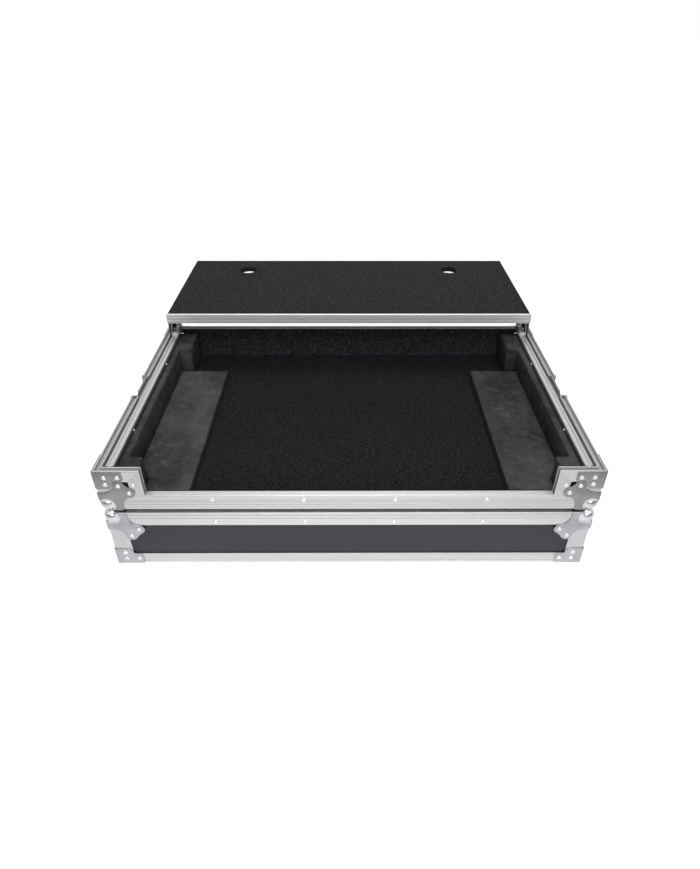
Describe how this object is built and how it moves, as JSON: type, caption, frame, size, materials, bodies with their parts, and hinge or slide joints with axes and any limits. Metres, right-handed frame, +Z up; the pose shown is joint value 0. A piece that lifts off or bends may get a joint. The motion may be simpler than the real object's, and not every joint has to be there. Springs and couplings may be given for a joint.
{
  "type": "dj controller flight case",
  "caption": "Open flight case tray with foam-lined bay, low front and sliding laptop shelf, standing on its own upturned lid, with ball corners and butterfly latches.",
  "frame": {"origin": "middle of the whole footprint, on the floor", "axes": "+X across the case to the right, +Y from the front to the rear, +Z up"},
  "size_m": [0.8082, 0.789, 0.2588],
  "materials": {
    "panel": "satin",
    "aluminium": "satin",
    "zinc": "satin",
    "foam": "matte",
    "felt": "matte",
    "board": "matte",
    "black_steel": "satin",
    "batten": "matte"
  },
  "bodies": {
    "lid": {"lid_top_panel": "panel", "lid_front_panel": "panel", "lid_rear_panel": "panel", "lid_left_panel": "panel", "lid_right_panel": "panel", "lid_edge_frame": "aluminium", "lid_rim_frame": "aluminium", "lid_ball_corner_front_left": "zinc", "lid_ball_corner_front_right": "zinc", "lid_ball_corner_rear_left": "zinc", "lid_ball_corner_rear_right": "zinc", "lid_brace_front_left": "zinc", "lid_brace_front_right": "zinc", "lid_brace_rear_left": "zinc", "lid_brace_rear_right": "zinc", "lid_keeper_left": "zinc", "lid_keeper_right": "zinc", "lid_foam_pad": "foam"},
    "tray": {"tray_floor_panel": "panel", "tray_front_panel": "panel", "tray_rear_panel": "panel", "tray_left_panel": "panel", "tray_right_panel": "panel", "tray_edge_frame": "aluminium", "tray_rim_left": "aluminium", "tray_rim_right": "aluminium", "tray_rim_rear": "aluminium", "tray_rim_front": "aluminium", "tray_ball_corner_front_left": "zinc", "tray_ball_corner_front_right": "zinc", "tray_ball_corner_rear_left": "zinc", "tray_ball_corner_rear_right": "zinc", "tray_brace_front_left": "zinc", "tray_brace_front_right": "zinc", "tray_brace_rear_left": "zinc", "tray_brace_rear_right": "zinc", "guide_track_left": "aluminium", "guide_track_right": "aluminium", "guide_batten_left": "batten", "guide_batten_right": "batten", "foam_side_left": "foam", "foam_side_right": "foam", "foam_pad_left": "foam", "foam_pad_right": "foam", "floor_lining": "felt", "rear_lining": "felt", "latch_dish_left": "zinc", "latch_dish_right": "zinc"},
    "shelf": {"shelf_board": "board", "shelf_front_edge": "aluminium", "shelf_bracket_left": "black_steel", "shelf_bracket_right": "black_steel"},
    "key_left": {"latch_key_left": "zinc"},
    "hook_left": {"latch_hook_left": "zinc"},
    "wing_front_left": {"latch_wing_front_left": "zinc"},
    "wing_rear_left": {"latch_wing_rear_left": "zinc"},
    "key_right": {"latch_key_right": "zinc"},
    "hook_right": {"latch_hook_right": "zinc"},
    "wing_front_right": {"latch_wing_front_right": "zinc"},
    "wing_rear_right": {"latch_wing_rear_right": "zinc"}
  },
  "joints": [
    {"name": "tray_lift", "type": "slide", "parent": "lid", "child": "tray", "axis": [0, 0, 1], "range_m": [0, 0.3]},
    {"name": "shelf_slide", "type": "slide", "parent": "tray", "child": "shelf", "axis": [0, -1, 0], "range_m": [0, 0.43]},
    {"name": "latch_key_left", "type": "hinge", "parent": "tray", "child": "key_left", "pos_m": [-0.3945, -0.1332, 0.1818], "axis": [-1, 0, 0], "range_deg": [0, 180]},
    {"name": "latch_hook_left", "type": "slide", "parent": "tray", "child": "hook_left", "axis": [0, 0, -1], "range_m": [0, 0.008]},
    {"name": "latch_wing_front_left", "type": "hinge", "parent": "key_left", "child": "wing_front_left", "pos_m": [-0.396, -0.1362, 0.1818], "axis": [0, 0, -1], "range_deg": [0, 80]},
    {"name": "latch_wing_rear_left", "type": "hinge", "parent": "key_left", "child": "wing_rear_left", "pos_m": [-0.396, -0.1302, 0.1818], "axis": [0, 0, 1], "range_deg": [0, 80]},
    {"name": "latch_key_right", "type": "hinge", "parent": "tray", "child": "key_right", "pos_m": [0.3945, -0.1332, 0.1818], "axis": [1, 0, 0], "range_deg": [0, 180]},
    {"name": "latch_hook_right", "type": "slide", "parent": "tray", "child": "hook_right", "axis": [0, 0, -1], "range_m": [0, 0.008]},
    {"name": "latch_wing_front_right", "type": "hinge", "parent": "key_right", "child": "wing_front_right", "pos_m": [0.396, -0.1362, 0.1818], "axis": [0, 0, 1], "range_deg": [0, 80]},
    {"name": "latch_wing_rear_right", "type": "hinge", "parent": "key_right", "child": "wing_rear_right", "pos_m": [0.396, -0.1302, 0.1818], "axis": [0, 0, -1], "range_deg": [0, 80]}
  ],
  "couplings": [
    {"joint": "latch_hook_left", "follows": "latch_key_left", "m_per_rad": 0.0025465},
    {"joint": "latch_wing_rear_left", "follows": "latch_wing_front_left", "ratio": 1},
    {"joint": "latch_hook_right", "follows": "latch_key_right", "m_per_rad": 0.0025465},
    {"joint": "latch_wing_rear_right", "follows": "latch_wing_front_right", "ratio": 1}
  ]
}
